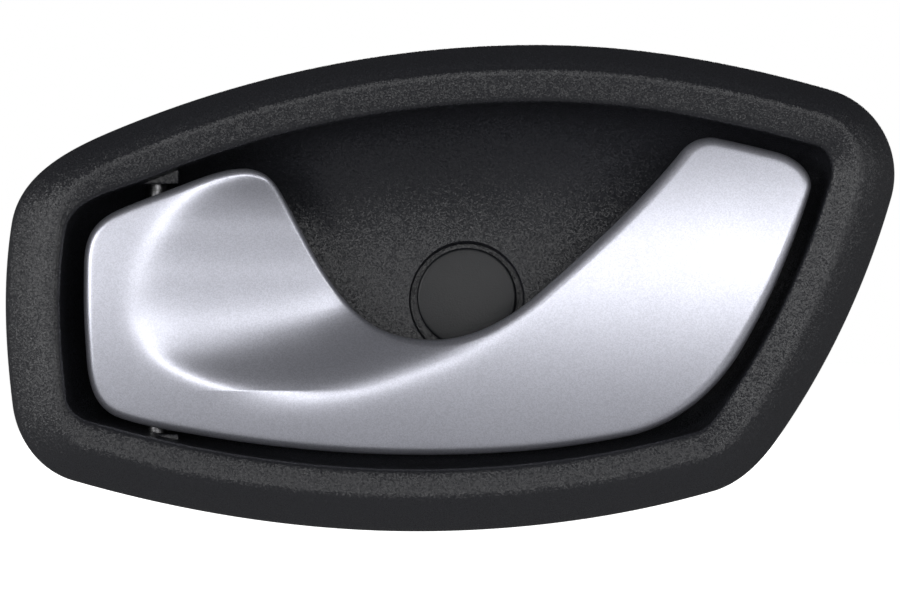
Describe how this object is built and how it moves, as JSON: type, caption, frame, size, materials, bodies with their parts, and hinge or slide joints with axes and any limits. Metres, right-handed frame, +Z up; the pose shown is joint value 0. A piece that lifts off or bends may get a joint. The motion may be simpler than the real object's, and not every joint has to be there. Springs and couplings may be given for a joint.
{
  "type": "interior door handle",
  "caption": "Car interior door handle: dark grained bezel with a finger bowl, and a sprung silver pull lever hinged at its left end.",
  "frame": {"origin": "centre of the fixing screw's hole, on the face that bears on the door's inner panel", "axes": "+X to the right along the bezel as seen from the front, +Z up, +Y into the door along the fixing screw; the front faces -Y"},
  "size_m": [0.1676, 0.0371, 0.0917],
  "materials": {
    "grained_plastic": "fine pebble grain, satin",
    "silver_paint": "satin metallic paint with fine flake",
    "black_plastic": "matt",
    "plated_steel": "zinc plated",
    "spring_steel": "drawn wire",
    "cap_plastic": "satin",
    "stop_rubber": "matt"
  },
  "bodies": {
    "housing_body": {"housing": "grained_plastic", "hinge_pin": "plated_steel", "pin_clip": "plated_steel", "return_spring": "spring_steel", "screw_cap": "cap_plastic", "screw_sleeve": "plated_steel", "rest_stop": "stop_rubber", "open_stop": "stop_rubber"},
    "lever_body": {"lever_cover": "silver_paint", "lever_carrier": "black_plastic"}
  },
  "joints": [
    {"name": "lever_hinge", "type": "hinge", "parent": "housing_body", "child": "lever_body", "pos_m": [-0.05872, -0.0201, 0], "axis": [0, 0, -1], "range_deg": [0, 20], "stiffness_Nm_per_rad": 0.25, "springref_deg": -28.65, "deforming": ["return_spring"]}
  ]
}
